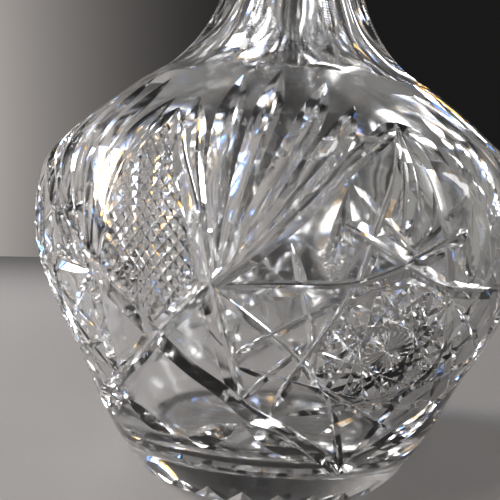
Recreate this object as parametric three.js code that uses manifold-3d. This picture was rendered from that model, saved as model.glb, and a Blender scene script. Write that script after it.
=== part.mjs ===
// Cut crystal decanter: a one-piece blown and cut vessel, and its loose ground-glass stopper.
// Millimetres, +Z up. The origin is the centre of the foot, on the surface that the decanter stands on.
import * as THREE from 'three';
import { mergeVertices } from 'three/addons/utils/BufferGeometryUtils.js';
import Module from 'manifold-3d';

const wasm = await Module();
wasm.setup();

// ---------- driving dimensions of the vessel ----------
const FOOT_RADIUS = 42.3;
const FOOT_CHAMFER = 0.8;
const STANDING_RING_WIDTH = 7;
const UNDERSIDE_RECESS = 1.6;
const SHOULDER_RING_Z = 109.5;
const SHOULDER_RING_RADIUS = 46.9;
const LIP_Z = 204;
const LIP_RADIUS = 25;
const LIP_ROUND = 1.6;
// Height and radius of the outside, from the foot to just below the lip.
const OUTSIDE_STATIONS = [
  [4, 44.7], [14, 50.6], [30, 57.9], [48, 66.8], [62, 71.8], [73, 72.5], [84, 71.2], [92, 66.0],
  [100, 57.8], [SHOULDER_RING_Z, SHOULDER_RING_RADIUS], [118, 35.5], [130, 26.4], [145, 20.7],
  [165, 18.0], [184, 19.3], [197, 22.7],
];
// Height and radius of the hollow, from its floor up to the foot of the ground seat.
const BORE_RADIUS = 10.6;
const HOLLOW_FLOOR_Z = 10;
const HOLLOW_STATIONS = [
  [HOLLOW_FLOOR_Z, 22], [11.5, 35], [18, 43], [32, 50.6], [48, 58.2], [62, 62.8], [73, 63.8], [84, 62.4],
  [92, 57.5], [100, 48.8], [109, 37], [118, 25], [128, 16], [140, 11.8],
];

// ---------- ground seat, and the stopper that fits it ----------
const SEAT_LENGTH = 27;
const SEAT_TAPER = 1 / 14;
const SEAT_GAP = 0.3;
const COLLAR_RADIUS = 15.5;
const COLLAR_HEIGHT = 4.5;
const COLLAR_ROUND = 1.2;
const WAIST_RADIUS = 9;
const WAIST_HEIGHT = 6;
const SHANK_LIFT = 1;
const SHANK_FOOT_BEVEL = 1;
const FINIAL_RADIUS = 23;
const FINIAL_CROWN_RADIUS = 9.5;
const FINIAL_SEAT_DROP = 0.86 * FINIAL_RADIUS;

// ---------- cutting ----------
const REPEATS = 4;
const FLUTES = 8;
const FLUTE_DEPTH_SHARE = 0.085;
const FLUTE_LAND = 0.34;
const FLUTE_STEP_HEIGHT = 1.4;
const FLUTE_TOP_Z = 192;
const FLUTE_FADE = 8;
const PATTERN_START = -22.5;
const MITRE_CLEARANCE = 3.5;
const MITRE_RUN_OUT = 0.04;
const BASE_STAR_RAYS = 24;
const BASE_STAR_INNER = 6;
const BASE_STAR_RADIUS = 34;
const BASE_STAR_SLOPE = 0.6;
const BASE_STAR_FILL = 0.88;

// ---------- mesh resolution ----------
const SEGMENTS = 48;
const OUTSIDE_STEPS = 22;
const HOLLOW_STEPS = 10;
const STOPPER_SEGMENTS = 32;
const FINIAL_STEPS = 12;
const OUTLINE_POINTS = 400;
const MERGE_DISTANCE = 1e-4;

const radians = THREE.MathUtils.degToRad;

// ---------- solids ----------

// A merged, position-only copy of a geometry, as a manifold solid with its faces pointing out.
function toSolid(geometry) {
  const bare = geometry.toNonIndexed();
  bare.deleteAttribute('normal');
  bare.deleteAttribute('uv');
  const merged = mergeVertices(bare, MERGE_DISTANCE);
  const make = (triangles) => new wasm.Manifold(new wasm.Mesh({
    numProp: 3,
    vertProperties: new Float32Array(merged.attributes.position.array),
    triVerts: new Uint32Array(triangles),
  }));
  const triangles = [];
  const index = merged.index.array;
  for (let i = 0; i < index.length; i += 3) {
    const [a, b, c] = [index[i], index[i + 1], index[i + 2]];
    if (a !== b && b !== c && c !== a) triangles.push(a, b, c);
  }
  const solid = make(triangles);
  return solid.volume() > 0 ? solid : make(triangles.reverse());
}

function toGeometry(solid) {
  const mesh = solid.getMesh();
  const geometry = new THREE.BufferGeometry();
  geometry.setAttribute('position', new THREE.BufferAttribute(new Float32Array(mesh.vertProperties), 3));
  geometry.setIndex(new THREE.BufferAttribute(new Uint32Array(mesh.triVerts), 1));
  geometry.computeVertexNormals();
  return geometry;
}

// A closed body lofted through rings that all hold the same number of points.
function loft(rings) {
  const count = rings[0].length;
  const index = [];
  for (let ring = 0; ring + 1 < rings.length; ring += 1) {
    for (let side = 0; side < count; side += 1) {
      const a = ring * count + side;
      const b = ring * count + (side + 1) % count;
      index.push(a, b, a + count, b, b + count, a + count);
    }
  }
  const last = (rings.length - 1) * count;
  for (let side = 1; side + 1 < count; side += 1) {
    index.push(0, side + 1, side);
    index.push(last, last + side, last + side + 1);
  }
  const geometry = new THREE.BufferGeometry().setFromPoints(rings.flat());
  geometry.setIndex(index);
  return toSolid(geometry);
}

// A profile of (radius, height) points turned about Z.
function turn(profile, segments) {
  return new THREE.LatheGeometry(profile, segments).rotateX(Math.PI / 2);
}

// ---------- the vessel's outline ----------

function stationCurve(stations) {
  return new THREE.SplineCurve(stations.map(([z, radius]) => new THREE.Vector2(radius, z)));
}

const outsideCurve = stationCurve(OUTSIDE_STATIONS);
const outsideTable = outsideCurve.getPoints(OUTLINE_POINTS);

// Radius of the uncut outside at a height.
function outsideRadius(z) {
  const above = Math.max(1, outsideTable.findIndex((point) => point.y >= z));
  const [low, high] = [outsideTable[above - 1], outsideTable[above]];
  return THREE.MathUtils.mapLinear(z, low.y, high.y, low.x, high.x);
}

const lipCentre = new THREE.Vector2(LIP_RADIUS - LIP_ROUND, LIP_Z - LIP_ROUND);
const seatTopRadius = BORE_RADIUS + SEAT_LENGTH * SEAT_TAPER;
const seatFootZ = LIP_Z - SEAT_LENGTH;

function vesselProfile() {
  const standingInner = FOOT_RADIUS - STANDING_RING_WIDTH;
  const points = [
    new THREE.Vector2(0, UNDERSIDE_RECESS),
    new THREE.Vector2(standingInner - UNDERSIDE_RECESS, UNDERSIDE_RECESS),
    new THREE.Vector2(standingInner, 0),
    new THREE.Vector2(FOOT_RADIUS - FOOT_CHAMFER, 0),
    new THREE.Vector2(FOOT_RADIUS, FOOT_CHAMFER),
    ...outsideCurve.getSpacedPoints(OUTSIDE_STEPS),
  ];
  for (const degrees of [-20, 30, 90]) {
    const angle = radians(degrees);
    const round = new THREE.Vector2(Math.cos(angle), Math.sin(angle)).multiplyScalar(LIP_ROUND);
    points.push(round.add(lipCentre));
  }
  points.push(new THREE.Vector2(seatTopRadius + LIP_ROUND, LIP_Z));
  points.push(new THREE.Vector2(seatTopRadius, LIP_Z - LIP_ROUND));
  points.push(new THREE.Vector2(BORE_RADIUS, seatFootZ));
  points.push(...stationCurve(HOLLOW_STATIONS).getSpacedPoints(HOLLOW_STEPS).reverse());
  points.push(new THREE.Vector2(0, HOLLOW_FLOOR_Z));
  return points;
}

// The neck's concave flutes, as a share of the radius taken away at a turn angle and height.
// A flat land is left between each two flutes.
function fluteShare(angle, z) {
  const turned = Math.abs(Math.sin(angle * FLUTES / 2));
  const fromRidge = Math.max(0, turned - FLUTE_LAND) / (1 - FLUTE_LAND);
  const rise = THREE.MathUtils.clamp((z - SHOULDER_RING_Z) / FLUTE_STEP_HEIGHT, 0, 1);
  const fade = THREE.MathUtils.clamp((FLUTE_TOP_Z + FLUTE_FADE - z) / FLUTE_FADE, 0, 1);
  return FLUTE_DEPTH_SHARE * fromRidge * rise * fade;
}

function cutNeckFlutes(geometry) {
  const position = geometry.attributes.position;
  for (let i = 0; i < position.count; i += 1) {
    const [x, y, z] = [position.getX(i), position.getY(i), position.getZ(i)];
    const radius = Math.hypot(x, y);
    const outside = z > SHOULDER_RING_Z && z < FLUTE_TOP_Z + FLUTE_FADE && radius > outsideRadius(z) - 1;
    if (!outside) continue;
    const keep = 1 - fluteShare(Math.atan2(y, x) - radians(PATTERN_START), z);
    position.setXY(i, x * keep, y * keep);
  }
  return geometry;
}

// ---------- cuts ground into the vessel ----------

// A point on the uncut outside, with its outward normal. Angle 0 faces -Y.
function surfacePoint(degrees, z) {
  const angle = radians(degrees);
  const radius = outsideRadius(z);
  const slope = outsideRadius(z + 0.5) - outsideRadius(z - 0.5);
  const point = new THREE.Vector3(radius * Math.sin(angle), -radius * Math.cos(angle), z);
  const normal = new THREE.Vector3(Math.sin(angle), -Math.cos(angle), -slope).normalize();
  return { point, normal };
}

// A V groove along a path of (degrees, height) points. Its ends run out to nothing, as a wheel leaves them.
function mitre(path, depth, halfWidth, steps) {
  const curve = new THREE.SplineCurve(path.map(([degrees, z]) => new THREE.Vector2(degrees, z)));
  const places = curve.getPoints(steps).map((at) => surfacePoint(at.x, at.y));
  const rings = places.map(({ point, normal }, i) => {
    const before = places[Math.max(0, i - 1)].point;
    const after = places[Math.min(steps, i + 1)].point;
    const along = after.clone().sub(before).normalize();
    const side = along.clone().cross(normal).normalize();
    const place = THREE.MathUtils.clamp(i / steps, MITRE_RUN_OUT, 1 - MITRE_RUN_OUT);
    const share = Math.sqrt(Math.sin(Math.PI * place));
    const half = halfWidth * share * (depth * share + MITRE_CLEARANCE) / (depth * share);
    const top = point.clone().addScaledVector(normal, MITRE_CLEARANCE);
    return [
      point.clone().addScaledVector(normal, -depth * share),
      top.clone().addScaledVector(side, half),
      top.clone().addScaledVector(side, -half),
    ];
  });
  return loft(rings);
}

// The long mitres and fan blades of one half repeat: [path, depth, half width, steps].
const HALF_REPEAT_CUTS = [
  [[[0, 97], [7.9, 78.4], [11.7, 59.2], [16.7, 31.6]], 2.6, 3.4, 5],
  [[[45, 96], [33.2, 85.2], [18.4, 66.1], [11.7, 59.2], [0, 46.5], [-28.4, 24.2], [-45, 12]], 2.6, 2.8, 9],
  [[[11.7, 59.2], [35.2, 61], [58.4, 74]], 2, 2, 4],
  [[[12.5, 62], [7.5, 85], [3.6, 99.5]], 2.2, 2.8, 3],
  [[[13.5, 62], [12, 88], [11, 105.5]], 2.2, 2.8, 3],
  [[[14.5, 63], [18, 88], [20.6, 107.5]], 2.2, 2.8, 3],
  [[[15.5, 64], [25, 87], [31.9, 104.5]], 2.2, 2.8, 3],
];

function patternCuts() {
  const cuts = [];
  for (let repeat = 0; repeat < REPEATS; repeat += 1) {
    const leaf = PATTERN_START + repeat * 360 / REPEATS;
    for (const [path, depth, halfWidth, steps] of HALF_REPEAT_CUTS) {
      for (const hand of [1, -1]) {
        const placed = path.map(([degrees, z]) => [leaf + hand * degrees, z]);
        cuts.push(mitre(placed, depth, halfWidth, steps));
      }
    }
  }
  return cuts;
}

// The star of V rays cut in the underside: each widens from the middle out to the standing ring.
function baseStar() {
  const rays = [];
  for (let i = 0; i < BASE_STAR_RAYS; i += 1) {
    const angle = (i + 0.5) * 2 * Math.PI / BASE_STAR_RAYS;
    const out = new THREE.Vector3(Math.cos(angle), Math.sin(angle), 0);
    const side = new THREE.Vector3(-Math.sin(angle), Math.cos(angle), 0);
    const ring = (radius) => {
      const half = BASE_STAR_FILL * Math.PI * radius / BASE_STAR_RAYS;
      const low = out.clone().multiplyScalar(radius).setZ(UNDERSIDE_RECESS - 1);
      const reach = half + 1 / BASE_STAR_SLOPE;
      return [
        out.clone().multiplyScalar(radius).setZ(UNDERSIDE_RECESS + half * BASE_STAR_SLOPE),
        low.clone().addScaledVector(side, reach),
        low.clone().addScaledVector(side, -reach),
      ];
    };
    rays.push(loft([ring(BASE_STAR_INNER), ring(BASE_STAR_RADIUS)]));
  }
  return rays;
}

function decanterBody() {
  let solid = toSolid(cutNeckFlutes(turn(vesselProfile(), SEGMENTS)));
  for (const cut of [...patternCuts(), ...baseStar()]) {
    solid = solid.subtract(cut);
  }
  return toGeometry(solid);
}

// ---------- the stopper ----------

// One turned solid: tapered shank, collar, waist, and a ball with a flat crown.
function stopper() {
  const shankFootZ = seatFootZ + SHANK_LIFT;
  const shankFootRadius = BORE_RADIUS + SHANK_LIFT * SEAT_TAPER - SEAT_GAP;
  const shankTopRadius = seatTopRadius - SEAT_GAP;
  const collarZ = LIP_Z + SEAT_GAP;
  const collarTopZ = collarZ + COLLAR_HEIGHT;
  const waistZ = collarTopZ + WAIST_HEIGHT;
  const ballCentreZ = waistZ + FINIAL_SEAT_DROP;
  const profile = [
    new THREE.Vector2(0, shankFootZ),
    new THREE.Vector2(shankFootRadius - SHANK_FOOT_BEVEL, shankFootZ),
    new THREE.Vector2(shankFootRadius, shankFootZ + SHANK_FOOT_BEVEL),
    new THREE.Vector2(shankTopRadius, LIP_Z - LIP_ROUND),
    new THREE.Vector2(shankTopRadius, collarZ),
    new THREE.Vector2(COLLAR_RADIUS - COLLAR_ROUND, collarZ),
    new THREE.Vector2(COLLAR_RADIUS, collarZ + COLLAR_ROUND),
    new THREE.Vector2(COLLAR_RADIUS, collarTopZ - COLLAR_ROUND),
    new THREE.Vector2(COLLAR_RADIUS - COLLAR_ROUND, collarTopZ),
    new THREE.Vector2(WAIST_RADIUS, collarTopZ + WAIST_HEIGHT / 3),
    new THREE.Vector2(WAIST_RADIUS, waistZ - WAIST_HEIGHT / 3),
  ];
  const start = Math.asin(-FINIAL_SEAT_DROP / FINIAL_RADIUS);
  const end = Math.acos(FINIAL_CROWN_RADIUS / FINIAL_RADIUS);
  for (let i = 0; i <= FINIAL_STEPS; i += 1) {
    const angle = THREE.MathUtils.lerp(start, end, i / FINIAL_STEPS);
    const radius = FINIAL_RADIUS * Math.cos(angle);
    profile.push(new THREE.Vector2(radius, ballCentreZ + FINIAL_RADIUS * Math.sin(angle)));
  }
  profile.push(new THREE.Vector2(0, ballCentreZ + FINIAL_RADIUS * Math.sin(end)));
  return toGeometry(toSolid(turn(profile, STOPPER_SEGMENTS)));
}

// ---------- assembly ----------

const CRYSTAL_COLOUR = 0xe4edef;
const VESSEL_ROUGHNESS = 0.03;
const STOPPER_ROUGHNESS = 0.05;

function crystal(roughness) {
  return new THREE.MeshStandardMaterial({
    color: CRYSTAL_COLOUR,
    roughness,
    metalness: 0,
    transparent: true,
    opacity: 0.45,
  });
}

function piece(name, geometry, material) {
  const mesh = new THREE.Mesh(geometry, material);
  mesh.name = name;
  return mesh;
}

const decanter = new THREE.Group();
decanter.add(piece('decanter_body', decanterBody(), crystal(VESSEL_ROUGHNESS)));
decanter.add(piece('stopper', stopper(), crystal(STOPPER_ROUGHNESS)));

export default decanter;
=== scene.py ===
"""Looks of a cut crystal decanter: the deep-cut vessel, its faceted stopper, crystal and ground glass.

The design is worked out in millimetres and built in metres. Angles of the cutting are in degrees round
the bottle, counted from a leaf's centre line; the pattern repeats every quarter turn, and each quarter
mirrors itself about the leaf (0 degrees) and about the hobstar (45 degrees).
"""

import math

import bmesh
import bpy
import numpy as np
from mathutils import Matrix, Vector


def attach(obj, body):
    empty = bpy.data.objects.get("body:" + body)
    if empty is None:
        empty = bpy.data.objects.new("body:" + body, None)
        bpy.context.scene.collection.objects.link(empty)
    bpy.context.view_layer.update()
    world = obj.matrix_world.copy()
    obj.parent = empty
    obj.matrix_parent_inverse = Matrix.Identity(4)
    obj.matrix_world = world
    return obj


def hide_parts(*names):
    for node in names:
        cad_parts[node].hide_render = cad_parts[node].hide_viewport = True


MM = 0.001

# ---------- the vessel's driving dimensions, as in the CAD model ----------
FOOT_RADIUS = 42.3
FOOT_CHAMFER = 0.8
STANDING_RING_WIDTH = 7.0
UNDERSIDE_RECESS = 1.6
SHOULDER_RING_Z = 109.5
SHOULDER_RING_RADIUS = 46.9
LIP_Z = 204.0
LIP_RADIUS = 25.0
LIP_ROUND = 1.6
# Places round the lip's edge, in degrees up from level.
LIP_ANGLES = (-25, 5, 35, 62, 90)
LIP_INNER_EASE = LIP_ROUND * 0.3
OUTSIDE_STATIONS = [
    (4, 44.7), (14, 50.6), (30, 57.9), (48, 66.8), (62, 71.8), (73, 72.5), (84, 71.2), (92, 66.0),
    (100, 57.8), (SHOULDER_RING_Z, SHOULDER_RING_RADIUS), (118, 35.5), (130, 26.4), (145, 20.7),
    (165, 18.0), (184, 19.3), (197, 22.7),
]
BORE_RADIUS = 10.6
HOLLOW_FLOOR_Z = 10.0
HOLLOW_STATIONS = [
    (HOLLOW_FLOOR_Z, 22), (11.5, 35), (18, 43), (32, 50.6), (48, 58.2), (62, 62.8), (73, 63.8),
    (84, 62.4), (92, 57.5), (100, 48.8), (109, 37), (118, 25), (128, 16), (140, 11.8),
]
SEAT_LENGTH = 27.0
SEAT_TAPER = 1 / 14
SEAT_GAP = 0.3

# ---------- the stopper's driving dimensions ----------
COLLAR_RADIUS = 15.5
COLLAR_HEIGHT = 4.5
COLLAR_ROUND = 1.2
WAIST_RADIUS = 9.0
WAIST_HEIGHT = 6.0
WAIST_PANELS = 12
# The waist's flare: added radius and height, from the collar's top and from the ball's seat.
WAIST_LOW_FLARE = ((3.2, -0.4), (0.8, 1.2))
WAIST_HIGH_FLARE = ((0.9, -1), (2.8, 0.8), (2.8, 2))
FINIAL_RADIUS = 23.0
FINIAL_SEAT_DROP = 0.86 * FINIAL_RADIUS
FINIAL_CROWN_HEIGHT = 20.95
FINIAL_FACET_DISTANCE = 22.3
FINIAL_FACETS = 12
FINIAL_ROWS = (-44, -22, 0, 22, 44, 66)
CROWN_RAYS = 12
CROWN_RAY_LENGTH = 7.4
CROWN_RAY_FILL = 0.9
CROWN_RAY_SLOPE = 0.5
CROWN_RAY_REACH = (0.6, CROWN_RAY_LENGTH * 0.6)
SHANK_LIFT = 1.0
SHANK_FOOT_BEVEL = 1.0

# ---------- the pattern's place, and the neck's flutes ----------
REPEATS = 4
# Where the first leaf's centre line stands, in degrees round from the front.
PATTERN_START = -22.5
FLUTES = 8
# Depth of a flute as a share of the radius, and how much of its swing stays uncut as a land.
FLUTE_DEPTH_SHARE = 0.085
FLUTE_LAND = 0.34
FLUTE_STEP_HEIGHT = 1.4
FLUTE_TOP_Z = 192.0
FLUTE_FADE = 8.0
# Points this near to the vessel's outline belong to its outside.
FLUTE_SKIN = 1.0

# ---------- mesh resolution ----------
SEGMENTS = 160
STOPPER_SEGMENTS = 96
CURVE_POINTS = 40
WAIST_CURVE_POINTS = 4
OUTSIDE_STEP = 2.2
HOLLOW_STEP = 3.0
SLOPE_REACH = 0.5
UNDERSIDE_RINGS = (8, 16, 24)
HOLLOW_FLOOR_RINGS = (14, 6)
SEAT_RINGS = 12
SHANK_RINGS = 14
SHANK_FOOT_RING = 0.6
COLLAR_ANGLE_STEP = 15
# Two faces that meet at more than this many degrees have a crisp edge.
CREASE = 9

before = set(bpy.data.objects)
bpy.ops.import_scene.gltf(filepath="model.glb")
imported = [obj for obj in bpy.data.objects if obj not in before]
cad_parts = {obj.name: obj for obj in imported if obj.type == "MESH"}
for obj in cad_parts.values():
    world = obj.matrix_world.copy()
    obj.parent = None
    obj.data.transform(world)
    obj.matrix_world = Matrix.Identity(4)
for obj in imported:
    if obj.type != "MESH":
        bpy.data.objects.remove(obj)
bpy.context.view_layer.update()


# ---------- curves ----------

def spline(points, per_span=16):
    """A Catmull-Rom curve through the points, as dense points."""
    points = np.asarray(points, float)
    padded = np.vstack([points[:1], points, points[-1:]])
    share = np.linspace(0, 1, per_span, endpoint=False)[:, None]
    spans = []
    for a, b, c, d in zip(padded, padded[1:], padded[2:], padded[3:]):
        slope_b = (c - a) / 2
        slope_c = (d - b) / 2
        cubic = 2 * b - 2 * c + slope_b + slope_c
        square = -3 * b + 3 * c - 2 * slope_b - slope_c
        spans.append(cubic * share ** 3 + square * share ** 2 + slope_b * share + b)
    return np.vstack(spans + [points[-1:]])


def even(points, step):
    """The same polyline with evenly spaced points, about a step apart."""
    lengths = np.concatenate([[0], np.cumsum(np.linalg.norm(np.diff(points, axis=0), axis=1))])
    count = max(2, int(round(lengths[-1] / step)) + 1)
    places = np.linspace(0, lengths[-1], count)
    return np.stack([np.interp(places, lengths, column) for column in points.T], axis=1)


OUTSIDE = spline([(radius, z) for z, radius in OUTSIDE_STATIONS], CURVE_POINTS)
OUTSIDE_ARC = np.concatenate([[0], np.cumsum(np.linalg.norm(np.diff(OUTSIDE, axis=0), axis=1))])


def outside_radius(z):
    """The uncut outside's radius at a height."""
    return np.interp(z, OUTSIDE[:, 1], OUTSIDE[:, 0])


def arc_at(z):
    """Distance along the vessel's side, from the foot up to a height."""
    return np.interp(z, OUTSIDE[:, 1], OUTSIDE_ARC)


def height_at(arc):
    """Height at a distance along the vessel's side."""
    return np.interp(arc, OUTSIDE_ARC, OUTSIDE[:, 1])


def on_glass(degrees, z):
    """Points on the uncut outside, and the outward normals there. Angle 0 faces -Y."""
    angle = np.radians(degrees)
    radius = outside_radius(z)
    slope = (outside_radius(z + SLOPE_REACH) - outside_radius(z - SLOPE_REACH)) / (2 * SLOPE_REACH)
    points = np.stack([radius * np.sin(angle), -radius * np.cos(angle), z], axis=1)
    normals = np.stack([np.sin(angle), -np.cos(angle), -slope], axis=1)
    return points, normals / np.linalg.norm(normals, axis=1)[:, None]


# ---------- meshes ----------

def mesh_object(name, vertices, faces):
    """A new object in the scene, from vertices in millimetres."""
    mesh = bpy.data.meshes.new(name)
    mesh.from_pydata((np.asarray(vertices) * MM).tolist(), [], faces)
    mesh.validate()
    obj = bpy.data.objects.new(name, mesh)
    bpy.context.scene.collection.objects.link(obj)
    return obj


def lathe(name, profile, segments):
    """A closed body turned from a profile of (radius, z) that starts and ends on the axis."""
    profile = np.asarray(profile, float)
    rows = profile[1:-1]
    angles = np.linspace(0, 2 * math.pi, segments, endpoint=False)
    ring = np.stack([np.sin(angles), -np.cos(angles)], axis=1)
    vertices = [(0, 0, profile[0, 1])]
    for radius, z in rows:
        vertices.extend((radius * x, radius * y, z) for x, y in ring)
    vertices.append((0, 0, profile[-1, 1]))
    last = len(vertices) - 1
    faces = []
    for side in range(segments):
        after = (side + 1) % segments
        faces.append((0, 1 + after, 1 + side))
        for row in range(len(rows) - 1):
            low = 1 + row * segments
            high = low + segments
            faces.append((low + side, low + after, high + after, high + side))
        top = 1 + (len(rows) - 1) * segments
        faces.append((top + side, top + after, last))
    return mesh_object(name, vertices, faces)


def loft(rings, closed=False):
    """Vertices and triangles of a body lofted through rings of equal size."""
    rings = np.asarray(rings)
    count, sides = rings.shape[:2]
    faces = []
    for ring in range(count if closed else count - 1):
        low = ring * sides
        high = (ring + 1) % count * sides
        for side in range(sides):
            after = (side + 1) % sides
            faces.append((low + side, low + after, high + side))
            faces.append((low + after, high + after, high + side))
    if not closed:
        top = (count - 1) * sides
        for side in range(1, sides - 1):
            faces.append((0, side + 1, side))
            faces.append((top, top + side, top + side + 1))
    vertices = rings.reshape(-1, 3)
    corners = vertices[np.array(faces)]
    volume = np.sum(corners[:, 0] * np.cross(corners[:, 1], corners[:, 2]))
    return vertices, faces if volume > 0 else [face[::-1] for face in faces]


def layers_of(cutters):
    """Sorts cutters into layers in which no two cutters touch, by their boxes."""
    layers = []
    for vertices, faces in cutters:
        low = vertices.min(axis=0)
        high = vertices.max(axis=0)
        for layer in layers:
            lows = np.array([box[0] for box in layer["boxes"]])
            highs = np.array([box[1] for box in layer["boxes"]])
            if not np.any(np.all((lows < high) & (highs > low), axis=1)):
                break
        else:
            layer = {"cutters": [], "boxes": []}
            layers.append(layer)
        layer["cutters"].append((vertices, faces))
        layer["boxes"].append((low, high))
    return [layer["cutters"] for layer in layers]


def carve(body, cutters):
    """Takes every cutter away from the body, a layer of separate cutters at a time."""
    for layer in layers_of(cutters):
        vertices = np.vstack([places for places, _ in layer])
        starts = np.cumsum([0] + [len(places) for places, _ in layer])
        faces = []
        for start, (_, own) in zip(starts, layer):
            faces.extend(tuple(corner + start for corner in face) for face in own)
        tool = mesh_object("cutter", vertices, faces)
        combine(body, tool, "DIFFERENCE")


def combine(body, tool, operation):
    """One boolean of the body with a tool, which is used up."""
    modifier = body.modifiers.new("cut", "BOOLEAN")
    modifier.operation = operation
    modifier.solver = "MANIFOLD"
    modifier.object = tool
    apply_modifiers(body)
    tool_mesh = tool.data
    bpy.data.objects.remove(tool)
    bpy.data.meshes.remove(tool_mesh)


def apply_modifiers(body):
    """Puts the result of the body's modifiers in place of its mesh."""
    evaluated = body.evaluated_get(bpy.context.evaluated_depsgraph_get())
    result = bpy.data.meshes.new_from_object(evaluated)
    body.modifiers.clear()
    old = body.data
    body.data = result
    bpy.data.meshes.remove(old)


def crease(body, degrees):
    """Smooth faces with crisp edges wherever two faces meet at more than the angle."""
    body.data.polygons.foreach_set("use_smooth", [True] * len(body.data.polygons))
    body.data.set_sharp_from_angle(angle=math.radians(degrees))


# ---------- V cuts ----------

# How far a cutter stands out of the glass, and the spacing of its rings.
CLEARANCE = 2.5
CUT_STEP = 2.2
SHALLOWEST_CUT = 0.02
# Degrees count as millimetres on this radius while points are spaced along a cut.
MEAN_RADIUS = 70.0
# A knee's place on each flank and the bottom below it, as shares of a cut's half width and depth.
KNEE_WIDTH = 0.3
KNEE_DEPTH = 0.76
KNEE_BOTTOM = 0.98
# A fan blade's depth at its foot and what it gains, over which share of its length, and its point.
BLADE_FOOT_DEPTH = 0.35
BLADE_GAIN = 0.65
BLADE_SWELL_SHARE = 0.72
BLADE_POINT_SHARE = 0.28
BLADE_POINT_CURVE = 2.2


def run_in(share, start, end):
    """Depth along a cut: it grows over the start share and dies away over the end share."""
    rise = np.clip(share / start, 0, 1)
    fall = np.clip((1 - share) / end, 0, 1)
    return (1 - (1 - rise) ** 2) * (1 - (1 - fall) ** 2)


def blade(share):
    """Depth along a fan blade: it swells over most of its length, then comes to a point."""
    grow = BLADE_FOOT_DEPTH + BLADE_GAIN * np.clip(share / BLADE_SWELL_SHARE, 0, 1)
    point = np.clip((1 - share) / BLADE_POINT_SHARE, 0, 1)
    return grow * (1 - (1 - point) ** BLADE_POINT_CURVE)


def strength_along(share, profile):
    """Depth along a cut from a function, from shares of run-in and run-out, or full throughout."""
    if profile is None:
        return np.ones(len(share))
    if callable(profile):
        return profile(share)
    return run_in(share, *profile)


def groove(path, half_width, depth, profile=None, step=CUT_STEP, closed=False, knee=False):
    """A V cutter along a path of (degrees, z) places; a knee breaks each flank near the bottom."""
    flat = [(math.radians(degrees) * MEAN_RADIUS, z) for degrees, z in path]
    places = even(spline(flat) if len(flat) > 2 else np.asarray(flat, float), step)
    if closed:
        places = places[:-1]
    strength = strength_along(np.linspace(0, 1, len(places)), profile)
    points, normals = on_glass(np.degrees(places[:, 0] / MEAN_RADIUS), places[:, 1])
    if closed:
        along = np.roll(points, -1, axis=0) - np.roll(points, 1, axis=0)
    else:
        along = np.gradient(points, axis=0)
    side = np.cross(along, normals)
    side /= np.linalg.norm(side, axis=1)[:, None]
    deep = np.maximum(depth * strength, SHALLOWEST_CUT)[:, None]
    half = half_width * deep / depth
    top = points + normals * CLEARANCE
    if not knee:
        reach = half + half_width * CLEARANCE / depth
        corners = [points - normals * deep, top + side * reach, top - side * reach]
        return loft(np.stack(corners, axis=1), closed)
    low = points - normals * deep * KNEE_DEPTH
    out = side * half * KNEE_WIDTH
    reach = half + half_width / depth * CLEARANCE * (1 - KNEE_WIDTH) / KNEE_DEPTH
    bottom = points - normals * deep * KNEE_BOTTOM
    corners = [bottom, low + out, top + side * reach, top - side * reach, low - out]
    return loft(np.stack(corners, axis=1), closed)


def around(path, leaf, hand):
    """A path counted from a leaf's centre line, to its right (hand 1) or mirrored (hand -1)."""
    return [(leaf + hand * degrees, z) for degrees, z in path]


# ---------- long mitres and fans ----------

LEAF_TOP = (0, 96.8)
LEAF_FOOT = (0, 46.5)
STAR_CROSSING = (11.7, 59.2)
PEAK = (45, 96)
LOW_PEAK = (45, 11.8)

# Mitres of half a repeat: path, half width, depth, run-in and run-out.
MITRES = [
    ([LEAF_TOP, (4.4, 88), (7.9, 78.4), (10.3, 68), STAR_CROSSING, (14.1, 45.5), (16.7, 31.6)],
     2.2, 2.2, (0.1, 0.1)),
    ([PEAK, (33.2, 85.2), (25.6, 74.8), (18.4, 66.1), STAR_CROSSING, (6.2, 53), LEAF_FOOT, (-6.1, 40),
      (-13.5, 34.4), (-19.4, 29.2), (-28.4, 24.2), (-40.5, 16.5), (-45, 11.8)],
     2.2, 2.2, (0.03, 0.03)),
    ([STAR_CROSSING, (23.4, 60), (35.2, 61), (43.6, 64.9), (53, 71.4), (58.4, 74)], 1.9, 1.9, (0.25, 0.1)),
    ([PEAK, (39.1, 75), (37.2, 66), (35.9, 60.6), (32, 50.1), (26.9, 38.6), (24.2, 31.1)],
     1.3, 1.3, (0.1, 0.1)),
    ([(33.9, 81.4), (39.4, 75.1), (47.1, 66.9)], 0.9, 0.9, (0.2, 0.2)),
    ([STAR_CROSSING, (22.6, 49.5), (29.5, 42.4), (35.2, 36.2), (54.7, 24.5)], 1.0, 1.0, (0.1, 0.1)),
    ([(16, 41.5), (24.7, 39), (35.2, 36), (44.1, 33.5), (62.9, 29.9)], 1.0, 1.0, (0.1, 0.1)),
    ([(15.9, 44.5), (22, 49), (27.7, 53.5), (34, 58)], 1.0, 1.0, (0.2, 0.2)),
    ([(17, 32.5), (23, 40.5), (29.7, 49.1)], 0.9, 0.9, (0.2, 0.2)),
    ([(35.2, 36), (40, 24.5), LOW_PEAK], 1.1, 1.1, (0.15, 0.1)),
    ([(24.7, 69.2), (26.9, 61.5), (29.4, 51.6), (30.2, 45)], 1.1, 1.1, (0.25, 0.2)),
    ([(33, 80.2), (32.2, 68.9), (31.5, 61)], 2.6, 1.7, (0.7, 0.3)),
    ([PEAK, (43.7, 84), (43, 70)], 2.0, 1.6, (0.5, 0.4)),
    ([(17, 27), (27, 21.5), (37, 16.3)], 3.0, 1.9, (0.5, 0.5)),
    ([(16.2, 26.5), (10, 22.5), (2.5, 19.5)], 2.8, 1.8, (0.5, 0.5)),
]

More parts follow.
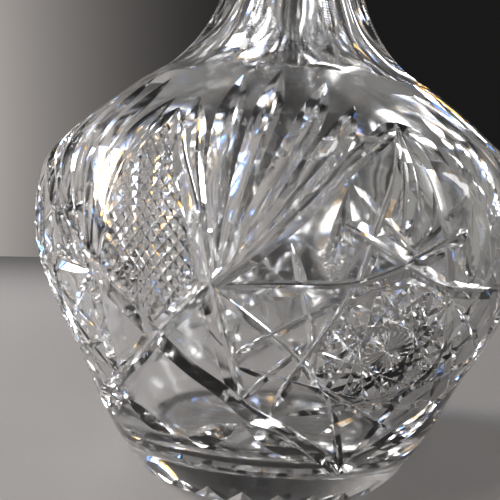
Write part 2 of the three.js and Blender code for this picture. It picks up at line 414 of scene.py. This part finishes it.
# The fan of blades between the leaf and the peak: foot, bend and tip of each.
FAN = [
    ((12.0, 60.5), (7.8, 84), (3.1, 99.8)),
    ((12.6, 60.8), (12.2, 86), (11.0, 106)),
    ((13.3, 61), (17.6, 87), (20.6, 108)),
    ((14.1, 61.2), (23.4, 86), (31.9, 105)),
    ((14.9, 61.6), (27.5, 83), (37.0, 99)),
]
FAN_HALF_WIDTH = 3.0
FAN_DEPTH = 2.5


def leaf_places():
    """The angle of each leaf's centre line, one for each repeat."""
    return [PATTERN_START + repeat * 360 / REPEATS for repeat in range(REPEATS)]


def fan_and_mitres():
    """Cutters for every long mitre and fan blade."""
    cutters = []
    for leaf in leaf_places():
        for hand in (1, -1):
            for path, half_width, depth, profile in MITRES:
                cutters.append(groove(around(path, leaf, hand), half_width, depth, profile, knee=True))
            for path in FAN:
                place = around(path, leaf, hand)
                cutters.append(groove(place, FAN_HALF_WIDTH, FAN_DEPTH, blade, knee=True))
    return cutters


# ---------- crosshatched leaf ----------

# Distance across between two lines, and how far up a line goes for each millimetre across.
HATCH_SPACING = 2.7
HATCH_RISE = 1.19
HATCH_HALF_WIDTH = 1.0
HATCH_DEPTH = 0.9
HATCH_RUN = (0.03, 0.03)
# Right half of the crosshatched field, as (degrees, z).
HATCH_OUTLINE = [
    (0, 93.5), (3.2, 87.5), (6.2, 78.5), (8.3, 70), (9.6, 61.5), (9.2, 58.6), (4.6, 52.8), (0, 48.6),
]
# The lines' offsets across run between these shares of the field's height. A line is tried at so many
# places along it, and is cut if enough of them are inside the field.
HATCH_FIRST_OFFSET = -1.2
HATCH_LAST_OFFSET = 0.6
HATCH_SAMPLES = 600
HATCH_FEWEST_INSIDE = 4


def inside(outline, places):
    """Which places lie inside a closed outline, by counting crossings."""
    held = np.zeros(len(places), bool)
    for (x0, y0), (x1, y1) in zip(outline, np.roll(outline, -1, axis=0)):
        spans = (y0 > places[:, 1]) != (y1 > places[:, 1])
        if y1 != y0:
            crossing = (x1 - x0) * (places[:, 1] - y0) / (y1 - y0) + x0
            held ^= spans & (places[:, 0] < crossing)
    return held


def hatch_paths():
    """Diagonal lines of the crosshatching, as (degrees, z) ends inside the leaf."""
    half = []
    for degrees, z in HATCH_OUTLINE:
        half.append((math.radians(degrees) * float(outside_radius(z)), float(arc_at(z))))
    outline = np.array(half + [(-x, y) for x, y in half[-2:0:-1]])
    low = outline[:, 1].min()
    high = outline[:, 1].max()
    reach = high - low
    travel = np.linspace(0, reach, HATCH_SAMPLES)
    paths = []
    for direction in (1, -1):
        for offset in np.arange(reach * HATCH_FIRST_OFFSET, reach * HATCH_LAST_OFFSET, HATCH_SPACING):
            line = np.stack([direction * (offset + travel / HATCH_RISE), low + travel], axis=1)
            held = np.flatnonzero(inside(outline, line))
            if len(held) >= HATCH_FEWEST_INSIDE:
                paths.append([unroll(line[held[0]]), unroll(line[held[-1]])])
    return paths


def unroll(place):
    """Flat (across, along) millimetres on the glass to (degrees, z)."""
    z = float(height_at(place[1]))
    return math.degrees(place[0] / float(outside_radius(z))), z


def hatching():
    """Cutters for the crosshatching of every leaf."""
    paths = hatch_paths()
    cutters = []
    for leaf in leaf_places():
        for path in paths:
            cutters.append(groove(around(path, leaf, 1), HATCH_HALF_WIDTH, HATCH_DEPTH, HATCH_RUN))
    return cutters


# ---------- hobstar ----------

HOBSTAR_CENTRE = (45, 46.4)
HOBSTAR_RADIUS = 16.6
HOBSTAR_POINTS = 16
# Each chord joins a point of the star to the one this many further round.
HOBSTAR_SKIP = 6
HOBSTAR_RING_POINTS = 48
# Half width and depth of the ring, the chords, the centre's rays and the small stars' rays.
RING_CUT = (0.95, 0.95)
CHORD_CUT = (0.8, 0.8)
RAY_CUT = (0.55, 0.6)
SMALL_RAY_CUT = (0.35, 0.4)
# Shares of a chord and of a ray over which it deepens and dies away, and where a ray starts.
CHORD_RUN = (0.08, 0.08)
RAY_RUN = (0.45, 0.5)
RAY_EYE_SHARE = 0.04
RAY_STEPS = 4
RAYS = 24
RAY_LENGTH = 7.6
SMALL_STARS = 8
SMALL_STAR_RING = 12.3
SMALL_STAR_RAYS = 12
SMALL_RAY_LENGTH = 3.4


def hob_place(across, up, leaf):
    """A place in the hobstar's own flat millimetres, as (degrees, z) on the glass."""
    degrees, z = HOBSTAR_CENTRE
    height = float(height_at(float(arc_at(z)) + up))
    return leaf + degrees + math.degrees(across / float(outside_radius(height))), height


def hob_polar(radius, turn, leaf, centre=(0, 0)):
    """A place at a radius and turn from a centre in the hobstar's flat millimetres."""
    return hob_place(centre[0] + radius * math.sin(turn), centre[1] + radius * math.cos(turn), leaf)


def star(centre, rays, length, cut, leaf):
    """Cutters for a star of V rays round a centre in the hobstar's flat millimetres."""
    cutters = []
    for ray in range(rays):
        turn = (ray + 0.5) * 2 * math.pi / rays
        eye = hob_polar(length * RAY_EYE_SHARE, turn, leaf, centre)
        tip = hob_polar(length, turn, leaf, centre)
        cutters.append(groove([eye, tip], *cut, RAY_RUN, step=length / RAY_STEPS))
    return cutters


def hobstars():
    """Cutters for every hobstar: its ring, its crossing chords, its centre and its small stars."""
    cutters = []
    for leaf in leaf_places():
        turns = np.linspace(0, 2 * math.pi, HOBSTAR_RING_POINTS + 1)
        ring = [hob_polar(HOBSTAR_RADIUS, turn, leaf) for turn in turns]
        cutters.append(groove(ring, *RING_CUT, closed=True))
        for point in range(HOBSTAR_POINTS):
            first = point * 2 * math.pi / HOBSTAR_POINTS
            second = (point + HOBSTAR_SKIP) * 2 * math.pi / HOBSTAR_POINTS
            chord = [hob_polar(HOBSTAR_RADIUS, first, leaf), hob_polar(HOBSTAR_RADIUS, second, leaf)]
            cutters.append(groove(chord, *CHORD_CUT, CHORD_RUN))
        cutters += star((0, 0), RAYS, RAY_LENGTH, RAY_CUT, leaf)
        for small in range(SMALL_STARS):
            turn = (small + 0.5) * 2 * math.pi / SMALL_STARS
            centre = (SMALL_STAR_RING * math.sin(turn), SMALL_STAR_RING * math.cos(turn))
            cutters += star(centre, SMALL_STAR_RAYS, SMALL_RAY_LENGTH, SMALL_RAY_CUT, leaf)
    return cutters


# ---------- neck notches and underside ----------

NOTCH_PITCH = 0.95
NOTCH_DEPTH = 0.4
NOTCH_HALF_HEIGHT = 0.44
NOTCH_HALF_LENGTH = 6
NOTCH_CLEARANCE = 0.3
NOTCH_RUN = (SHOULDER_RING_Z + 2, 186.0)


def land_notches():
    """Cutters for the fine notches stepped up every land between the neck's flutes."""
    cutters = []
    arcs = np.arange(arc_at(NOTCH_RUN[0]), arc_at(NOTCH_RUN[1]), NOTCH_PITCH)
    reach = NOTCH_HALF_HEIGHT * (NOTCH_CLEARANCE + NOTCH_DEPTH) / NOTCH_DEPTH
    for land in range(FLUTES):
        degrees = PATTERN_START + land * 360 / FLUTES
        for z in height_at(arcs):
            point, normal = (value[0] for value in on_glass(np.array([degrees]), np.array([z])))
            side = np.array([math.cos(math.radians(degrees)), math.sin(math.radians(degrees)), 0])
            up = np.cross(side, normal)
            rings = []
            for across in (-1, 1):
                middle = point + side * across * NOTCH_HALF_LENGTH
                top = middle + normal * NOTCH_CLEARANCE
                rings.append([middle - normal * NOTCH_DEPTH, top + up * reach, top - up * reach])
            cutters.append(loft(rings))
    return cutters


UNDERSIDE_RAYS = 24
# Share of the pitch between rays that a ray's width takes up, and its depth over its half width.
UNDERSIDE_FILL = 0.94
UNDERSIDE_SLOPE = 0.9
# Radii where a ray starts and is widest, and where it has run out.
UNDERSIDE_REACH = (3.0, 32.0)
UNDERSIDE_END = 34.0
# A ray's width where it has run out, as a share of full, and how far its cutter stands out.
FLAT_TIP_SHARE = 0.1
FLAT_CLEARANCE = 1


def flat_star(count, fill, slope, radii, end, z, up):
    """Cutters for a star of V rays in a flat face, each widening outwards until it runs out."""
    cutters = []
    for ray in range(count):
        angle = (ray + 0.5) * 2 * math.pi / count
        out = np.array([math.cos(angle), math.sin(angle), 0])
        side = np.array([-math.sin(angle), math.cos(angle), 0])
        rings = []
        for radius, share in ((radii[0], 1), (radii[1], 1), (end, FLAT_TIP_SHARE)):
            half = fill * math.pi * radius / count * share
            bottom = out * radius + np.array([0, 0, z - up * half * slope])
            top = out * radius + np.array([0, 0, z + up * FLAT_CLEARANCE])
            reach = half + FLAT_CLEARANCE / slope
            rings.append([bottom, top + side * reach, top - side * reach])
        cutters.append(loft(rings))
    return cutters


def underside_star():
    """Cutters for the star in the foot's recess, cut upwards from below."""
    return flat_star(
        UNDERSIDE_RAYS, UNDERSIDE_FILL, UNDERSIDE_SLOPE, UNDERSIDE_REACH, UNDERSIDE_END,
        UNDERSIDE_RECESS, -1)


# ---------- the vessel ----------

def vessel_profile():
    """The uncut vessel's (radius, z) outline, from under the foot, over the lip, to the hollow's floor."""
    standing_inner = FOOT_RADIUS - STANDING_RING_WIDTH
    seat_top = BORE_RADIUS + SEAT_LENGTH * SEAT_TAPER
    profile = [(0, UNDERSIDE_RECESS)]
    profile += [(radius, UNDERSIDE_RECESS) for radius in UNDERSIDE_RINGS]
    profile.append((standing_inner - UNDERSIDE_RECESS, UNDERSIDE_RECESS))
    profile += [(standing_inner, 0), (FOOT_RADIUS - FOOT_CHAMFER, 0), (FOOT_RADIUS, FOOT_CHAMFER)]
    profile += [tuple(place) for place in even(OUTSIDE, OUTSIDE_STEP)]
    for degrees in LIP_ANGLES:
        angle = math.radians(degrees)
        across = LIP_RADIUS - LIP_ROUND + LIP_ROUND * math.cos(angle)
        profile.append((across, LIP_Z - LIP_ROUND + LIP_ROUND * math.sin(angle)))
    profile += [(seat_top + LIP_ROUND, LIP_Z), (seat_top + LIP_INNER_EASE, LIP_Z - LIP_INNER_EASE)]
    seat = np.linspace((seat_top, LIP_Z - LIP_ROUND), (BORE_RADIUS, LIP_Z - SEAT_LENGTH), SEAT_RINGS)
    profile += [tuple(place) for place in seat]
    hollow = spline([(radius, z) for z, radius in HOLLOW_STATIONS], CURVE_POINTS)
    profile += [tuple(place) for place in even(hollow, HOLLOW_STEP)[::-1]]
    profile += [(radius, HOLLOW_FLOOR_Z) for radius in HOLLOW_FLOOR_RINGS]
    profile.append((0, HOLLOW_FLOOR_Z))
    return profile


def flute_neck(body):
    """Draws the neck's skin in to eight concave flutes with a narrow land between each two."""
    mesh = body.data
    places = np.empty(len(mesh.vertices) * 3)
    mesh.vertices.foreach_get("co", places)
    places = places.reshape(-1, 3) / MM
    radius = np.hypot(places[:, 0], places[:, 1])
    z = places[:, 2]
    skin = radius > outside_radius(z) - FLUTE_SKIN
    outside = skin & (z > SHOULDER_RING_Z) & (z < FLUTE_TOP_Z + FLUTE_FADE)
    angle = np.arctan2(places[:, 0], -places[:, 1]) - math.radians(PATTERN_START)
    rise = np.clip((z - SHOULDER_RING_Z) / FLUTE_STEP_HEIGHT, 0, 1)
    fade = np.clip((FLUTE_TOP_Z + FLUTE_FADE - z) / FLUTE_FADE, 0, 1)
    turned = np.maximum(0, np.abs(np.sin(angle * FLUTES / 2)) - FLUTE_LAND) / (1 - FLUTE_LAND)
    keep = 1 - FLUTE_DEPTH_SHARE * turned * rise * fade
    places[:, :2] *= np.where(outside, keep, 1)[:, None]
    mesh.vertices.foreach_set("co", (places * MM).ravel())
    mesh.update()


def build_vessel():
    """The whole vessel with every cut in it."""
    body = lathe("crystal_vessel", vessel_profile(), SEGMENTS)
    flute_neck(body)
    carve(body, fan_and_mitres() + hatching() + hobstars() + land_notches() + underside_star())
    crease(body, CREASE)
    return body


# ---------- the stopper ----------

COLLAR_Z = LIP_Z + SEAT_GAP
COLLAR_TOP_Z = COLLAR_Z + COLLAR_HEIGHT
WAIST_Z = COLLAR_TOP_Z + WAIST_HEIGHT
BALL_CENTRE_Z = WAIST_Z + FINIAL_SEAT_DROP
BALL_BLANK_SIZE = FINIAL_RADIUS * 4


def shank_and_collar():
    """The ground shank and the rounded collar, as one turned body."""
    foot_z = LIP_Z - SEAT_LENGTH + SHANK_LIFT
    foot_radius = BORE_RADIUS + SHANK_LIFT * SEAT_TAPER - SEAT_GAP
    top_radius = BORE_RADIUS + SEAT_LENGTH * SEAT_TAPER - SEAT_GAP
    profile = [(0, foot_z), (foot_radius * SHANK_FOOT_RING, foot_z)]
    profile.append((foot_radius - SHANK_FOOT_BEVEL, foot_z))
    low = (foot_radius, foot_z + SHANK_FOOT_BEVEL)
    high = (top_radius, LIP_Z - LIP_ROUND)
    profile += [tuple(place) for place in np.linspace(low, high, SHANK_RINGS)]
    profile += [(top_radius, COLLAR_Z), (COLLAR_RADIUS - COLLAR_ROUND, COLLAR_Z)]
    for centre_z, first in ((COLLAR_Z + COLLAR_ROUND, -90), (COLLAR_TOP_Z - COLLAR_ROUND, 0)):
        for degrees in range(first + COLLAR_ANGLE_STEP, first + 90, COLLAR_ANGLE_STEP):
            angle = math.radians(degrees)
            across = COLLAR_RADIUS - COLLAR_ROUND + COLLAR_ROUND * math.cos(angle)
            profile.append((across, centre_z + COLLAR_ROUND * math.sin(angle)))
    profile += [(COLLAR_RADIUS - COLLAR_ROUND * 2, COLLAR_TOP_Z), (0, COLLAR_TOP_Z)]
    return lathe("crystal_stopper", profile, STOPPER_SEGMENTS)


def waist():
    """A short neck of flat panels that flares into the collar and into the ball."""
    stations = [(WAIST_RADIUS + wider, COLLAR_TOP_Z + rise) for wider, rise in WAIST_LOW_FLARE]
    stations.append((WAIST_RADIUS, COLLAR_TOP_Z + WAIST_HEIGHT / 2))
    stations += [(WAIST_RADIUS + wider, WAIST_Z + rise) for wider, rise in WAIST_HIGH_FLARE]
    flare = spline(stations, WAIST_CURVE_POINTS)
    profile = [(0, flare[0][1])] + [tuple(place) for place in flare] + [(0, flare[-1][1])]
    return lathe("waist", profile, WAIST_PANELS)


def cut_ball():
    """A ball ground to rows of flat facets, each row turned half a facet from the next."""
    planes = [((0, 0, 1), FINIAL_CROWN_HEIGHT), ((0, 0, -1), FINIAL_SEAT_DROP)]
    for row, latitude in enumerate(FINIAL_ROWS):
        rise = math.radians(latitude)
        level = math.cos(rise)
        for facet in range(FINIAL_FACETS):
            turn = (facet + row % 2 / 2) * 2 * math.pi / FINIAL_FACETS
            normal = (level * math.cos(turn), level * math.sin(turn), math.sin(rise))
            planes.append((normal, FINIAL_FACET_DISTANCE))
    ball = bmesh.new()
    bmesh.ops.create_cube(ball, size=BALL_BLANK_SIZE)
    for normal, distance in planes:
        everything = ball.verts[:] + ball.edges[:] + ball.faces[:]
        place = Vector(normal) * distance
        cut = bmesh.ops.bisect_plane(
            ball, geom=everything, plane_co=place, plane_no=normal, clear_outer=True)
        rim = [item for item in cut["geom_cut"] if isinstance(item, bmesh.types.BMEdge)]
        bmesh.ops.edgeloop_fill(ball, edges=rim)
    bmesh.ops.recalc_face_normals(ball, faces=ball.faces)
    bmesh.ops.triangulate(ball, faces=ball.faces)
    vertices = np.array([vertex.co[:] for vertex in ball.verts]) + np.array([0, 0, BALL_CENTRE_Z])
    faces = [tuple(vertex.index for vertex in face.verts) for face in ball.faces]
    ball.free()
    return mesh_object("ball", vertices, faces)


def build_stopper():
    """The whole stopper, joined into one solid, with a star in its crown."""
    body = shank_and_collar()
    combine(body, waist(), "UNION")
    combine(body, cut_ball(), "UNION")
    crown_z = BALL_CENTRE_Z + FINIAL_CROWN_HEIGHT
    carve(body, flat_star(
        CROWN_RAYS, CROWN_RAY_FILL, CROWN_RAY_SLOPE, CROWN_RAY_REACH, CROWN_RAY_LENGTH, crown_z, 1))
    crease(body, CREASE)
    return body


vessel = build_vessel()
stopper = build_stopper()


# ---------- materials ----------

GLASS_IOR = 1.56
CLEAR_TINT = (0.985, 0.99, 0.99)
WORN_TINT = (0.97, 0.975, 0.975)
GROUND_TINT = (0.93, 0.94, 0.94)
# Noise seldom leaves this range, so this much of it spreads over the whole of a value's range.
NOISE_MIDDLE = (0.35, 0.65)
# Each finish: noise scale and detail and the roughness it spreads over, then noise scale, detail and
# height in millimetres of its bumps.
POLISHED_ROUGHNESS = (300, 3, 0.0, 0.02)
POLISHED_BUMPS = (120, 2, 0.05)
INNER_ROUGH = 0.1
INNER_ROUGHNESS = (40, 3, INNER_ROUGH * 0.8, INNER_ROUGH * 1.2)
INNER_BUMPS = (60, 1, 0.25)
WORN_ROUGHNESS = (700, 4, 0.1, 0.42)
WORN_BUMPS = (1800, 2, 0.03)
GROUND_ROUGHNESS = (900, 4, 0.42, 0.62)
GROUND_BUMPS = (2500, 2, 0.05)


def new_glass(name, tint, roughness, bumps):
    """A glass material whose roughness and small bumps vary by noise."""
    material = bpy.data.materials.new(name)
    material.use_nodes = True
    tree = material.node_tree
    shader = tree.nodes["Principled BSDF"]
    shader.inputs["Base Color"].default_value = (*tint, 1)
    shader.inputs["Transmission Weight"].default_value = 1
    shader.inputs["IOR"].default_value = GLASS_IOR
    scale, detail, low, high = roughness
    # Where the noise isn't worked out, the middle value shows.
    shader.inputs["Roughness"].default_value = (low + high) / 2
    spread = ramp_between(tree, noise(tree, scale, detail), low, high)
    tree.links.new(spread, shader.inputs["Roughness"])
    scale, detail, height = bumps
    add_bump(tree, shader, noise(tree, scale, detail), height)
    return material


def noise(tree, scale, detail):
    """Noise in the piece's own metres."""
    coordinates = tree.nodes.new("ShaderNodeTexCoord")
    texture = tree.nodes.new("ShaderNodeTexNoise")
    texture.inputs["Scale"].default_value = scale
    texture.inputs["Detail"].default_value = detail
    tree.links.new(coordinates.outputs["Object"], texture.inputs["Vector"])
    return texture.outputs["Fac"]


def ramp_between(tree, source, low, high):
    """The source's middle range spread between two values."""
    span = tree.nodes.new("ShaderNodeMapRange")
    span.inputs["From Min"].default_value = NOISE_MIDDLE[0]
    span.inputs["From Max"].default_value = NOISE_MIDDLE[1]
    span.inputs["To Min"].default_value = low
    span.inputs["To Max"].default_value = high
    tree.links.new(source, span.inputs["Value"])
    return span.outputs["Result"]


def add_bump(tree, shader, source, height):
    """Bumps of a height in millimetres on the shader's surface."""
    bump = tree.nodes.new("ShaderNodeBump")
    bump.inputs["Distance"].default_value = height * MM
    bump.inputs["Strength"].default_value = 1
    tree.links.new(source, bump.inputs["Height"])
    tree.links.new(bump.outputs["Normal"], shader.inputs["Normal"])


# Acid-polished cutting: bright, with a barely wavy skin.
CRYSTAL = new_glass("cut_crystal", CLEAR_TINT, POLISHED_ROUGHNESS, POLISHED_BUMPS)
# The hollow's fire-finished skin: slow waves, and the faint bloom that storing wine leaves.
SKIN = new_glass("blown_skin", CLEAR_TINT, INNER_ROUGHNESS, INNER_BUMPS)
# The wheel-ground seat and shank: grey and rough.
GROUND = new_glass("ground_glass", GROUND_TINT, GROUND_ROUGHNESS, GROUND_BUMPS)
# The foot's standing ring, greyed by fine scratches.
WORN = new_glass("worn_glass", WORN_TINT, WORN_ROUGHNESS, WORN_BUMPS)

# How near to the hollow's floor, the seat's foot and the table a face counts as theirs, and how far
# inside the outline every face of the hollow lies, in millimetres.
FLOOR_MARGIN = 0.5
SEAT_MARGIN = 1
STANDING_MARGIN = 0.3
INNER_FACE_DEPTH = 5.0


def face_table(body):
    """Centre radius and height of every face, in millimetres."""
    centres = np.empty(len(body.data.polygons) * 3)
    body.data.polygons.foreach_get("center", centres)
    centres = centres.reshape(-1, 3) / MM
    return np.hypot(centres[:, 0], centres[:, 1]), centres[:, 2]


def paint(body, materials, slots):
    """Gives the body its materials, and each face the slot of the one that it shows."""
    body.data.materials.clear()
    for material in materials:
        body.data.materials.append(material)
    body.data.polygons.foreach_set("material_index", slots)
    body.data.update()


def finish_vessel(body):
    """The vessel's materials, and its place in the frame."""
    radius, z = face_table(body)
    inner = (z > HOLLOW_FLOOR_Z - FLOOR_MARGIN) & (radius < outside_radius(z) - INNER_FACE_DEPTH)
    seat = inner & (z > LIP_Z - SEAT_LENGTH - SEAT_MARGIN)
    standing = (z < STANDING_MARGIN) & (radius > FOOT_RADIUS - STANDING_RING_WIDTH)
    paint(body, (CRYSTAL, SKIN, GROUND, WORN), np.select([seat, inner, standing], [2, 1, 3], 0))
    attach(body, "vessel")
    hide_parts("decanter_body")


def finish_stopper(body):
    """The stopper's materials, and its place in the frame."""
    z = face_table(body)[1]
    paint(body, (CRYSTAL, GROUND), np.where(z < LIP_Z - LIP_ROUND / 2, 1, 0))
    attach(body, "stopper")
    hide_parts("stopper")


finish_vessel(vessel)
finish_stopper(stopper)


# ---------- floor, light and camera ----------

FLOOR_RADIUS = 0.62
# From this distance out to the rim the floor's colour darkens to the edge tone: painted shade for the
# light falling away.
FLOOR_SHADE_START = 0.24
FLOOR_TONE = (0.40, 0.385, 0.37)
FLOOR_EDGE_SHADE = (0.13, 0.125, 0.12)
FLOOR_ROUGHNESS = 0.8
FLOOR_SIDES = 96

# Each studio light: name, place, width and height in metres, power in watts, and whether the vessel
# casts no shadow from its white strip, as clear glass passes light on to the table.
STUDIO_LIGHTS = [
    ("window", (-0.75, 0.22, 0.40), (0.14, 0.28), 4.6, False),
    ("front_left", (-0.60, -0.50, 0.45), (0.06, 0.30), 0.9, False),
    ("top", (-0.45, 0.20, 0.80), (0.10, 0.14), 0.5, False),
    ("right", (0.80, -0.10, 0.45), (0.05, 0.35), 0.45, True),
    ("back_right", (0.45, 0.75, 0.50), (0.06, 0.30), 0.8, True),
]
LIGHT_AIM = (0, 0, 0.08)
WHITE = (1, 1, 1)
AMBER = (1.0, 0.55, 0.12)
BLUE = (0.12, 0.35, 1.0)
# Width of a coloured strip beside a light, and its share of the light's power.
GEL_WIDTH = 0.03
GEL_SHARE = 0.12

# Place in metres, angles in radians, sensor and lens in millimetres.
CAMERA_PLACE = (0, -0.1865, 0.0748)
CAMERA_PAN = -0.045
CAMERA_TILT = -0.0656
CAMERA_ROLL = 0.064
CAMERA_SENSOR = 36
CAMERA_LENS = 42.15
CAMERA_NEAR = 0.01

ROOM_DARK = (0.0105, 0.010, 0.010)
ROOM_GLOW = (0.45, 0.42, 0.40)
ROOM_FRONT = (0.20, 0.197, 0.193)
ROOM_CEILING = (0.20, 0.197, 0.193)
ROOM_RIGHT = (0.30, 0.295, 0.28)
# Components of the direction between which each tone of the room comes in.
GLOW_RUN = (0.15, -0.47)
GLOW_BEND = 4
RIGHT_RUN = (0.40, 0.75)
FRONT_RUN = (0.1, -0.8)
CEILING_RUN = (0.38, 0.8)


def floor():
    """A pale round table top whose colour darkens towards its edge, painted shade where the light falls
    away into the dark.
    """
    turns = np.linspace(0, 2 * math.pi, FLOOR_SIDES, endpoint=False)
    rim = np.stack([np.cos(turns), np.sin(turns), np.zeros(FLOOR_SIDES)], axis=1) * FLOOR_RADIUS / MM
    obj = mesh_object("floor", rim, [tuple(range(FLOOR_SIDES))])
    material = bpy.data.materials.new("floor")
    material.use_nodes = True
    tree = material.node_tree
    shader = tree.nodes["Principled BSDF"]
    shader.inputs["Roughness"].default_value = FLOOR_ROUGHNESS
    coordinates = tree.nodes.new("ShaderNodeTexCoord")
    distance = tree.nodes.new("ShaderNodeVectorMath")
    distance.operation = "LENGTH"
    # Painted shade: the floor's colour darkens smoothly towards its rim.
    fade = tree.nodes.new("ShaderNodeMapRange")
    fade.interpolation_type = "SMOOTHSTEP"
    fade.inputs["From Min"].default_value = FLOOR_SHADE_START
    fade.inputs["From Max"].default_value = FLOOR_RADIUS
    tone = tree.nodes.new("ShaderNodeMix")
    tone.data_type = "RGBA"
    tone.inputs["A"].default_value = (*FLOOR_TONE, 1)
    tone.inputs["B"].default_value = (*FLOOR_EDGE_SHADE, 1)
    tree.links.new(coordinates.outputs["Object"], distance.inputs[0])
    tree.links.new(distance.outputs["Value"], fade.inputs["Value"])
    tree.links.new(fade.outputs["Result"], tone.inputs["Factor"])
    tree.links.new(tone.outputs["Result"], shader.inputs["Base Color"])
    obj.data.materials.append(material)


def area_light(name, place, size, power, colour):
    """A rectangular light that faces the vessel and that the camera doesn't see."""
    light = bpy.data.lights.new(name, "AREA")
    light.shape = "RECTANGLE"
    light.size, light.size_y = size
    light.energy = power
    light.color = colour
    obj = bpy.data.objects.new(name, light)
    obj.location = place
    obj.rotation_euler = (Vector(LIGHT_AIM) - Vector(place)).to_track_quat("-Z", "Y").to_euler()
    obj.visible_camera = False
    bpy.context.scene.collection.objects.link(obj)
    return obj


def softbox(name, place, size, power):
    """A white strip light with an amber and a blue gel strip beside it, for the fire in the cuts."""
    white = area_light(name, place, size, power, WHITE)
    place = Vector(place)
    side = (Vector(LIGHT_AIM) - place).cross(Vector((0, 0, 1))).normalized()
    reach = size[0] / 2 + GEL_WIDTH
    gel_size = (GEL_WIDTH, size[1])
    area_light(name + "_amber", place + side * reach, gel_size, power * GEL_SHARE, AMBER)
    area_light(name + "_blue", place - side * reach, gel_size, power * GEL_SHARE, BLUE)
    return white


def studio_lights():
    """Every studio light, and the vessel left out of the shadows of those that pass it."""
    clear = bpy.data.collections.new("clear_glass")
    clear.objects.link(vessel)
    clear.collection_objects[0].light_linking.link_state = "EXCLUDE"
    for name, place, size, power, passes in STUDIO_LIGHTS:
        white = softbox(name, place, size, power)
        if passes:
            white.light_linking.blocker_collection = clear


def camera():
    """The camera stands close in front, a little turned, tipped and rolled."""
    ahead = math.cos(CAMERA_TILT)
    forward = Vector((math.sin(CAMERA_PAN) * ahead, math.cos(CAMERA_PAN) * ahead, math.sin(CAMERA_TILT)))
    level = Vector((math.cos(CAMERA_PAN), -math.sin(CAMERA_PAN), 0))
    upright = level.cross(forward)
    right = level * math.cos(CAMERA_ROLL) + upright * math.sin(CAMERA_ROLL)
    up = upright * math.cos(CAMERA_ROLL) - level * math.sin(CAMERA_ROLL)
    data = bpy.data.cameras.new("camera")
    data.sensor_width = CAMERA_SENSOR
    data.lens = CAMERA_LENS
    data.clip_start = CAMERA_NEAR
    obj = bpy.data.objects.new("camera", data)
    turned = Matrix((right, up, -forward)).transposed().to_4x4()
    obj.matrix_world = Matrix.Translation(CAMERA_PLACE) @ turned
    bpy.context.scene.collection.objects.link(obj)
    bpy.context.scene.camera = obj


def ramp_along(tree, source, run, kind="SMOOTHSTEP"):
    """A step from 0 to 1 as one component of the direction goes over a run."""
    span = tree.nodes.new("ShaderNodeMapRange")
    span.interpolation_type = kind
    span.inputs["From Min"].default_value = run[0]
    span.inputs["From Max"].default_value = run[1]
    tree.links.new(source, span.inputs["Value"])
    return span.outputs["Result"]


def tint_over(tree, under, factor, colour):
    """A colour mixed over what is under it, or over the room's dark tone if nothing is."""
    mix = tree.nodes.new("ShaderNodeMix")
    mix.data_type = "RGBA"
    mix.inputs["A"].default_value = (*ROOM_DARK, 1)
    mix.inputs["B"].default_value = (*colour, 1)
    if under:
        tree.links.new(under, mix.inputs["A"])
    tree.links.new(factor, mix.inputs["Factor"])
    return mix.outputs["Result"]


def studio_world():
    """A room dark towards +Y, with a soft glow at -X and pale walls at +X and -Y and overhead."""
    world = bpy.data.worlds.new("studio")
    world.use_nodes = True
    tree = world.node_tree
    coordinates = tree.nodes.new("ShaderNodeTexCoord")
    split = tree.nodes.new("ShaderNodeSeparateXYZ")
    tree.links.new(coordinates.outputs["Generated"], split.inputs["Vector"])
    bend = tree.nodes.new("ShaderNodeMath")
    bend.operation = "POWER"
    bend.inputs[1].default_value = GLOW_BEND
    tree.links.new(ramp_along(tree, split.outputs["X"], GLOW_RUN, "LINEAR"), bend.inputs[0])
    tone = tint_over(tree, None, bend.outputs["Value"], ROOM_GLOW)
    tone = tint_over(tree, tone, ramp_along(tree, split.outputs["X"], RIGHT_RUN), ROOM_RIGHT)
    tone = tint_over(tree, tone, ramp_along(tree, split.outputs["Y"], FRONT_RUN), ROOM_FRONT)
    tone = tint_over(tree, tone, ramp_along(tree, split.outputs["Z"], CEILING_RUN), ROOM_CEILING)
    tree.links.new(tone, tree.nodes["Background"].inputs["Color"])
    bpy.context.scene.world = world


floor()
camera()
studio_world()
bpy.context.scene.view_settings.view_transform = "Standard"
studio_lights()
